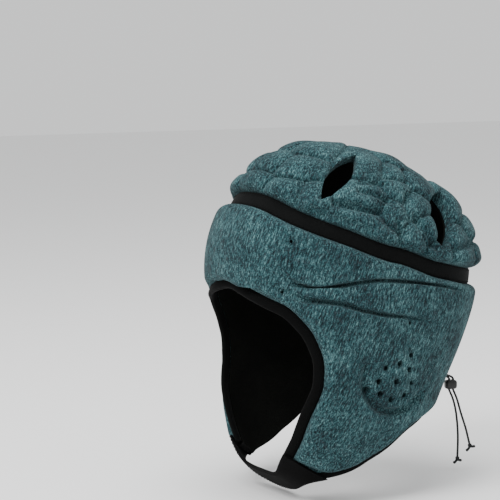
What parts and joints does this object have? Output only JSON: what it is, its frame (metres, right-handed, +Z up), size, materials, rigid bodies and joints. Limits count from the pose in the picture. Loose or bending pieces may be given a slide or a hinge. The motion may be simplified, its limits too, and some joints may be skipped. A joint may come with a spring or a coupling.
{
  "type": "rugby scrum cap",
  "caption": "Padded rugby scrum cap with a grooved, vented crown, ear flaps with holes, bound face opening, chin strap and a laced slit at the nape",
  "frame": {"origin": "where the top of the wearer's head touches the lining", "axes": "+Z up, the wearer faces -Y, the wearer's left is +X"},
  "size_m": [0.1774, 0.2317, 0.2692],
  "materials": {
    "teal_knit": "heathered knit",
    "black_lining": "matte knit",
    "black_elastic": "ribbed elastic",
    "black_binding": "stretch binding tape",
    "black_webbing": "soft webbing",
    "grey_cord": "braided cord",
    "black_plastic": "satin moulded plastic"
  },
  "bodies": {
    "root": {"crown": "teal_knit", "crown_lining": "black_lining", "crown_band": "black_elastic", "side_wrap": "teal_knit", "side_lining": "black_lining", "face_binding": "black_binding", "lower_binding_left": "black_binding", "lower_binding_right": "black_binding", "nape_gusset": "black_elastic", "chin_strap": "black_webbing", "rear_lace": "grey_cord", "cord_lock": "black_plastic", "lace_end_long": "grey_cord", "lace_end_short": "grey_cord", "lace_knot_long": "grey_cord", "lace_knot_short": "grey_cord"}
  },
  "joints": []
}
